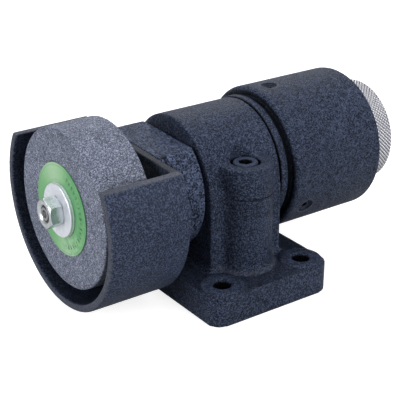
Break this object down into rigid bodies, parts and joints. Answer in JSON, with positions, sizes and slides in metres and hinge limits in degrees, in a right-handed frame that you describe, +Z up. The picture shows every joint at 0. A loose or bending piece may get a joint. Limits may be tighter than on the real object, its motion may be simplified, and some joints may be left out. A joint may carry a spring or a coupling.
{
  "type": "wheel truing spindle",
  "caption": "Bench-mounted truing spindle: a small wheel in an open guard, a housing held in a split clamp ring on a four-hole base, a centrifugal brake drum and a knurled hand knob.",
  "frame": {"origin": "centre of the base's underside", "axes": "+Z up, +X along the spindle from the wheel to the knob"},
  "size_m": [0.1888, 0.112, 0.0904],
  "materials": {
    "crinkle_coat": "dark blue-black crinkle powder coat",
    "abrasive": "sintered grey abrasive grain",
    "blotter_green": "matt printed green paper",
    "zinc_plate": "bright zinc plate",
    "turned_steel": "turned and ground steel",
    "black_oxide": "black oxide, light oil",
    "weld_coat": "crinkle coat over a weld bead",
    "knurled_aluminium": "knurled, bead blasted edge",
    "brass_cage": "stamped brass",
    "seal_rubber": "nitrile rubber",
    "lining": "moulded friction lining",
    "cast_brake": "machined casting"
  },
  "bodies": {
    "bracket": {"bracket_casting": "crinkle_coat", "clamp_screw": "crinkle_coat"},
    "housing": {"guard_shell": "crinkle_coat", "guard_hub": "crinkle_coat", "guard_weld": "weld_coat", "hub_set_screws": "black_oxide", "spindle_housing": "crinkle_coat", "front_retaining_ring": "black_oxide", "rear_retaining_ring": "black_oxide", "cover_retaining_ring": "black_oxide", "front_seal": "seal_rubber", "rear_seal": "seal_rubber", "front_bearing_outer_ring": "turned_steel", "rear_bearing_outer_ring": "turned_steel", "brake_drum": "crinkle_coat", "drum_cover": "crinkle_coat", "drum_set_screws": "black_oxide"},
    "spindle": {"spindle": "turned_steel", "grinding_wheel": "abrasive", "front_blotter": "blotter_green", "rear_blotter": "blotter_green", "outer_flange_washer": "zinc_plate", "inner_flange": "turned_steel", "spindle_nut": "zinc_plate", "front_bearing_inner_ring": "turned_steel", "rear_bearing_inner_ring": "turned_steel", "bearing_spacer": "turned_steel", "bearing_lock_nut": "turned_steel", "carrier_key": "turned_steel", "brake_carrier": "cast_brake", "pivot_pins": "turned_steel", "return_spring_a": "turned_steel", "return_spring_b": "turned_steel", "knurled_knob": "knurled_aluminium", "knob_set_screw": "black_oxide"},
    "front_cage": {"front_bearing_balls": "turned_steel", "front_bearing_cage": "brass_cage"},
    "rear_cage": {"rear_bearing_balls": "turned_steel", "rear_bearing_cage": "brass_cage"},
    "shoe_a": {"brake_shoe_a": "cast_brake", "brake_lining_a": "lining"},
    "shoe_b": {"brake_shoe_b": "cast_brake", "brake_lining_b": "lining"}
  },
  "joints": [
    {"name": "housing_swivel", "type": "hinge", "parent": "bracket", "child": "housing", "pos_m": [0, 0, 0.0523], "axis": [1, 0, 0], "continuous": true},
    {"name": "spindle_spin", "type": "hinge", "parent": "housing", "child": "spindle", "pos_m": [0, 0, 0.0523], "axis": [1, 0, 0], "continuous": true},
    {"name": "front_cage_spin", "type": "hinge", "parent": "housing", "child": "front_cage", "pos_m": [0, 0, 0.0523], "axis": [1, 0, 0], "continuous": true},
    {"name": "rear_cage_spin", "type": "hinge", "parent": "housing", "child": "rear_cage", "pos_m": [0, 0, 0.0523], "axis": [1, 0, 0], "continuous": true},
    {"name": "shoe_a_swing", "type": "hinge", "parent": "spindle", "child": "shoe_a", "pos_m": [0.0625, 0.0225, 0.0523], "axis": [-1, 0, 0], "range_deg": [0, 1.6], "stiffness_Nm_per_rad": 4, "springref_deg": -3.44, "deforming": ["return_spring_a"]},
    {"name": "shoe_b_swing", "type": "hinge", "parent": "spindle", "child": "shoe_b", "pos_m": [0.0625, -0.0225, 0.0523], "axis": [-1, 0, 0], "range_deg": [0, 1.6], "stiffness_Nm_per_rad": 4, "springref_deg": -3.44, "deforming": ["return_spring_b"]}
  ],
  "couplings": [
    {"joint": "front_cage_spin", "follows": "spindle_spin", "ratio": 0.38048},
    {"joint": "rear_cage_spin", "follows": "spindle_spin", "ratio": 0.38048}
  ]
}
